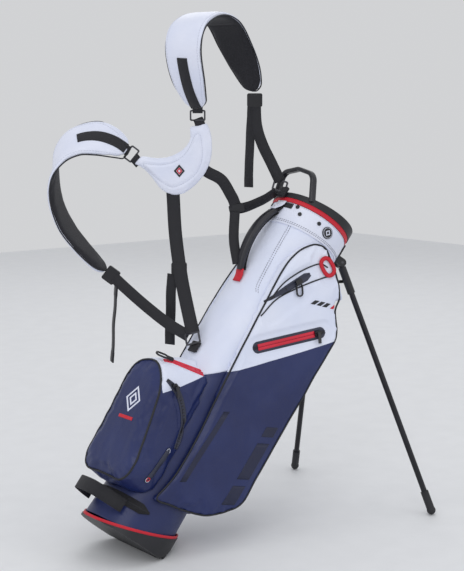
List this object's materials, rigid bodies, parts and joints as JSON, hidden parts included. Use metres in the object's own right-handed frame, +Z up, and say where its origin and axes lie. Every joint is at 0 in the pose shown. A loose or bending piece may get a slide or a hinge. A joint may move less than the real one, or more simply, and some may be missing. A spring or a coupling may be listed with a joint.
{
  "type": "golf stand bag",
  "caption": "Leaning golf stand bag with two folding legs, hinged heel plate, divided top collar, zipped pockets and a double shoulder harness.",
  "frame": {"origin": "middle of the heel plate's underside, on the floor", "axes": "+Z up, +X towards the legs, the way the bag leans; Y = 0 is the bag's middle plane, and the harness and the near pocket are not symmetric about it"},
  "size_m": [0.8013, 0.5502, 1.1236],
  "materials": {
    "white_fabric": "smooth coated polyester, satin",
    "navy_fabric": "smooth coated polyester, satin",
    "red_trim": "red webbing and coated zip tape",
    "black_plastic": "moulded, fine texture",
    "rubber": "soft moulded rubber",
    "zip_rubber": "rubberised zip frame",
    "webbing": "woven polyester webbing",
    "dark_metal": "black-plated steel",
    "leg_metal": "black painted aluminium tube",
    "padded_fleece": "brushed fleece cover",
    "inner_fabric": "thin lining fabric",
    "stay_fibre": "fibreglass rod"
  },
  "bodies": {
    "bag": {"adjusters": "black_plastic", "apparel_pocket": "navy_fabric", "apparel_zip": "zip_rubber", "ball_pocket": "navy_fabric", "ball_side_zip": "zip_rubber", "ball_top_zip": "red_trim", "base_band": "webbing", "base_cup": "black_plastic", "base_handle": "webbing", "base_trim": "red_trim", "collar_cuff": "white_fabric", "collar_strap": "webbing", "collar_trim": "red_trim", "divider_panels": "inner_fabric", "far_pocket": "navy_fabric", "far_zip": "zip_rubber", "grab_handle": "black_plastic", "gusset_patch": "rubber", "handle_strap": "webbing", "handle_tabs": "webbing", "heel_pin": "dark_metal", "left_shoulder_pad": "white_fabric", "left_strap": "webbing", "leg_bracket": "black_plastic", "leg_pins": "dark_metal", "lower_shell": "navy_fabric", "medallion": "black_plastic", "right_shoulder_pad": "white_fabric", "right_strap": "webbing", "rod_guides": "black_plastic", "snap_buttons": "dark_metal", "spine_handle": "rubber", "stay_rods": "stay_fibre", "strap_rings": "dark_metal", "strap_tabs": "webbing", "strap_tails": "webbing", "top_collar": "black_plastic", "top_divider": "padded_fleece", "towel_ring": "red_trim", "upper_shell": "white_fabric", "valuables_zip": "zip_rubber", "yoke_pad": "white_fabric", "yoke_strap": "webbing"},
    "left_leg": {"left_leg_knuckle": "black_plastic", "left_leg_tube": "leg_metal", "left_leg_foot": "rubber"},
    "right_leg": {"right_leg_knuckle": "black_plastic", "right_leg_tube": "leg_metal", "right_leg_foot": "rubber"},
    "left_link": {"left_link": "dark_metal"},
    "right_link": {"right_link": "dark_metal"},
    "actuator": {"actuator_rod": "black_plastic"},
    "heel": {"heel_plate": "black_plastic"},
    "apparel_slider": {"apparel_slider": "dark_metal"},
    "apparel_pull": {"apparel_pull": "rubber"},
    "ball_side_slider": {"ball_side_slider": "dark_metal"},
    "ball_side_pull": {"ball_side_pull": "rubber"},
    "valuables_slider": {"valuables_slider": "dark_metal"},
    "ball_top_slider": {"ball_top_slider": "dark_metal"}
  },
  "joints": [
    {"name": "left_leg_fold", "type": "hinge", "parent": "bag", "child": "left_leg", "pos_m": [0.52026, 0.038, 0.56833], "axis": [-0.3151, 0.9128, 0.2597], "range_deg": [0, 53]},
    {"name": "left_link_turn", "type": "hinge", "parent": "left_leg", "child": "left_link", "pos_m": [0.53176, 0.04107, 0.52531], "axis": [0.3151, -0.9128, -0.2597], "range_deg": [0, 106]},
    {"name": "right_leg_fold", "type": "hinge", "parent": "bag", "child": "right_leg", "pos_m": [0.52026, -0.038, 0.56833], "axis": [0.3151, 0.9128, -0.2597], "range_deg": [0, 53]},
    {"name": "right_link_turn", "type": "hinge", "parent": "right_leg", "child": "right_link", "pos_m": [0.53176, -0.04107, 0.52531], "axis": [-0.3151, -0.9128, 0.2597], "range_deg": [0, 106]},
    {"name": "actuator_slide", "type": "slide", "parent": "bag", "child": "actuator", "axis": [-0.6361, 0, -0.7716], "range_m": [0, 0.03425]},
    {"name": "heel_fold", "type": "hinge", "parent": "bag", "child": "heel", "pos_m": [-0.02456, 0, 0.004], "axis": [0, 1, 0], "range_deg": [0, 39.5]},
    {"name": "apparel_zip_run", "type": "slide", "parent": "bag", "child": "apparel_slider", "axis": [-0.977, 0.1777, -0.1181], "range_m": [0, 0.14]},
    {"name": "apparel_pull_lift", "type": "hinge", "parent": "apparel_slider", "child": "apparel_pull", "pos_m": [0.3682, -0.13358, 0.43578], "axis": [-0.9802, 0.1982, 0.0016], "range_deg": [0, 75]},
    {"name": "ball_side_zip_run", "type": "hinge", "parent": "bag", "child": "ball_side_slider", "pos_m": [-0.0734, -0.086, 0.29308], "axis": [-0.0819, 0.9917, -0.0994], "range_deg": [0, 60]},
    {"name": "ball_side_pull_lift", "type": "hinge", "parent": "ball_side_slider", "child": "ball_side_pull", "pos_m": [0.02382, -0.08173, 0.35515], "axis": [-0.9966, -0.0823, 0.0001], "range_deg": [0, 75]},
    {"name": "valuables_zip_run", "type": "slide", "parent": "bag", "child": "valuables_slider", "axis": [-0.9081, 0.1165, -0.4022], "range_m": [0, 0.075]},
    {"name": "ball_top_zip_run", "type": "slide", "parent": "bag", "child": "ball_top_slider", "axis": [0.8914, -0.3935, -0.2248], "range_m": [0, 0.055]}
  ],
  "couplings": [
    {"joint": "left_link_turn", "follows": "left_leg_fold", "ratio": 2},
    {"joint": "right_leg_fold", "follows": "left_leg_fold", "ratio": 1},
    {"joint": "right_link_turn", "follows": "left_leg_fold", "ratio": 2},
    {"joint": "actuator_slide", "follows": "left_leg_fold", "m_per_rad": 0.037019},
    {"joint": "heel_fold", "follows": "left_leg_fold", "ratio": 0.74528}
  ]
}
